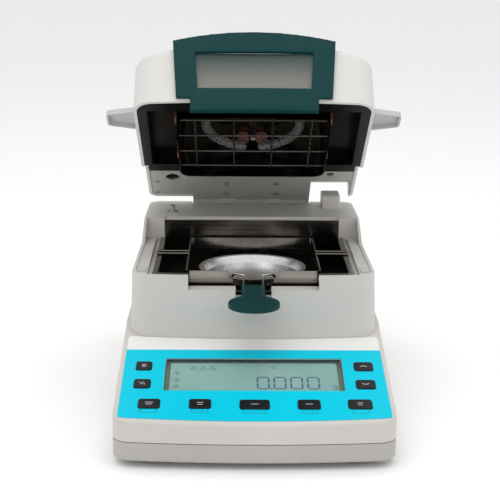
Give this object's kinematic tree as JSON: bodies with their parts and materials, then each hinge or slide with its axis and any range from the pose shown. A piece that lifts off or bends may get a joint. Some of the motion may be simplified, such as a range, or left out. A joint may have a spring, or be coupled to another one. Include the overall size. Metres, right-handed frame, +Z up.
{
  "type": "moisture analyzer",
  "caption": "Desk halogen moisture analyzer with a sloping key panel, a sample pan in a draft shield and a hinged lid with a ring lamp.",
  "frame": {"origin": "middle of the footprint, on the table under the feet", "axes": "+Z up, +Y to the back, +X to the right as seen by the person at the keys"},
  "size_m": [0.2374, 0.348, 0.2967],
  "materials": {
    "white_shell": "fine satin",
    "grey_shell": "fine texture",
    "dark_tray": "textured",
    "key_film": "printed film, pale above and cyan at the top",
    "key_cap": "near black",
    "screen_glass": "clear",
    "screen": "liquid crystal panel",
    "circuit_board": "solder mask",
    "cell_metal": "milled",
    "stainless": "brushed",
    "shield_steel": "polished",
    "pan_sheet": "bright pressed sheet",
    "wire": "bright",
    "dark_plastic": "dark teal",
    "window_pane": "tinted",
    "grey_plastic": "satin",
    "pad_rubber": "soft",
    "black_sheet": "satin black",
    "plate_metal": "satin",
    "hood_steel": "heat tinted",
    "mirror_sheet": "polished",
    "lamp_glass": "clear quartz",
    "ceramic": "unglazed",
    "hinge_steel": "dark satin",
    "screw_steel": "zinc plated",
    "black_plastic": "moulded"
  },
  "bodies": {
    "base": {"upper_housing": "grey_shell", "lower_housing": "dark_tray", "keypad_overlay": "key_film", "lcd_window": "screen_glass", "lcd_module": "screen", "keypad_board": "circuit_board", "main_board": "circuit_board", "power_supply": "circuit_board", "load_cell_bracket": "cell_metal", "load_cell": "cell_metal", "chamber_liner": "stainless", "heat_shield": "stainless", "lid_rest_pads": "pad_rubber", "lid_locating_pin": "screw_steel", "cable_duct": "black_plastic", "base_hinge_leaves": "hinge_steel", "hinge_pin": "hinge_steel", "mains_inlet": "black_plastic", "serial_port": "black_plastic", "fuse_holder": "black_plastic", "housing_screws": "screw_steel"},
    "lid": {"lid_shell": "white_shell", "lid_liner": "black_sheet", "lid_rear_plate": "plate_metal", "lid_screws": "screw_steel", "lamp_hood": "hood_steel", "reflector": "mirror_sheet", "halogen_lamp": "lamp_glass", "lamp_sockets": "ceramic", "lamp_guard": "wire", "temperature_probe": "stainless", "hood_clips": "ceramic", "window_frame": "dark_plastic", "window_glass": "window_pane", "left_grip": "grey_plastic", "right_grip": "grey_plastic", "lid_hinge_leaf": "hinge_steel"},
    "shield": {"draft_shield": "shield_steel"},
    "fork": {"fork_wire": "wire", "fork_handle": "dark_plastic"},
    "pan": {"sample_pan": "pan_sheet"},
    "weighing_stem": {"pan_support": "stainless"},
    "menu_key": {"menu_key": "key_cap"},
    "unit_key": {"unit_key": "key_cap"},
    "up_key": {"up_key": "key_cap"},
    "down_key": {"down_key": "key_cap"},
    "calibrate_key": {"calibrate_key": "key_cap"},
    "start_key": {"start_key": "key_cap"},
    "tare_key": {"tare_key": "key_cap"},
    "enter_key": {"enter_key": "key_cap"},
    "power_key": {"power_key": "key_cap"},
    "foot_front_left": {"foot_front_left": "pad_rubber"},
    "foot_front_right": {"foot_front_right": "pad_rubber"},
    "foot_rear_left": {"foot_rear_left": "pad_rubber"},
    "foot_rear_right": {"foot_rear_right": "pad_rubber"}
  },
  "joints": [
    {"name": "lid_hinge", "type": "hinge", "parent": "base", "child": "lid", "pos_m": [0, 0.1625, 0.1285], "axis": [-1, 0, 0], "range_deg": [-37.4, 0]},
    {"name": "shield_lift", "type": "slide", "parent": "base", "child": "shield", "axis": [0, 0, 1], "range_m": [0, 0.035]},
    {"name": "fork_lift", "type": "slide", "parent": "shield", "child": "fork", "axis": [0, 0, 1], "range_m": [0, 0.018]},
    {"name": "pan_lift", "type": "slide", "parent": "fork", "child": "pan", "axis": [0, 0, 1], "range_m": [0, 0.01]},
    {"name": "weigh_travel", "type": "slide", "parent": "base", "child": "weighing_stem", "axis": [0, 0, -1], "range_m": [0, 0.0005], "stiffness_N_per_m": 8000},
    {"name": "menu_key_press", "type": "slide", "parent": "base", "child": "menu_key", "axis": [0, 0.2096, -0.9778], "range_m": [0, 0.0006], "stiffness_N_per_m": 800},
    {"name": "unit_key_press", "type": "slide", "parent": "base", "child": "unit_key", "axis": [0, 0.2096, -0.9778], "range_m": [0, 0.0006], "stiffness_N_per_m": 800},
    {"name": "up_key_press", "type": "slide", "parent": "base", "child": "up_key", "axis": [0, 0.2096, -0.9778], "range_m": [0, 0.0006], "stiffness_N_per_m": 800},
    {"name": "down_key_press", "type": "slide", "parent": "base", "child": "down_key", "axis": [0, 0.2096, -0.9778], "range_m": [0, 0.0006], "stiffness_N_per_m": 800},
    {"name": "calibrate_key_press", "type": "slide", "parent": "base", "child": "calibrate_key", "axis": [0, 0.2096, -0.9778], "range_m": [0, 0.0006], "stiffness_N_per_m": 800},
    {"name": "start_key_press", "type": "slide", "parent": "base", "child": "start_key", "axis": [0, 0.2096, -0.9778], "range_m": [0, 0.0006], "stiffness_N_per_m": 800},
    {"name": "tare_key_press", "type": "slide", "parent": "base", "child": "tare_key", "axis": [0, 0.2096, -0.9778], "range_m": [0, 0.0006], "stiffness_N_per_m": 800},
    {"name": "enter_key_press", "type": "slide", "parent": "base", "child": "enter_key", "axis": [0, 0.2096, -0.9778], "range_m": [0, 0.0006], "stiffness_N_per_m": 800},
    {"name": "power_key_press", "type": "slide", "parent": "base", "child": "power_key", "axis": [0, 0.2096, -0.9778], "range_m": [0, 0.0006], "stiffness_N_per_m": 800},
    {"name": "foot_front_left_turn", "type": "hinge", "parent": "base", "child": "foot_front_left", "pos_m": [-0.0785, -0.144, 0], "axis": [0, 0, 1], "continuous": true},
    {"name": "foot_front_right_turn", "type": "hinge", "parent": "base", "child": "foot_front_right", "pos_m": [0.0785, -0.144, 0], "axis": [0, 0, 1], "continuous": true},
    {"name": "foot_rear_left_turn", "type": "hinge", "parent": "base", "child": "foot_rear_left", "pos_m": [-0.0785, 0.141, 0], "axis": [0, 0, 1], "continuous": true},
    {"name": "foot_rear_right_turn", "type": "hinge", "parent": "base", "child": "foot_rear_right", "pos_m": [0.0785, 0.141, 0], "axis": [0, 0, 1], "continuous": true}
  ]
}
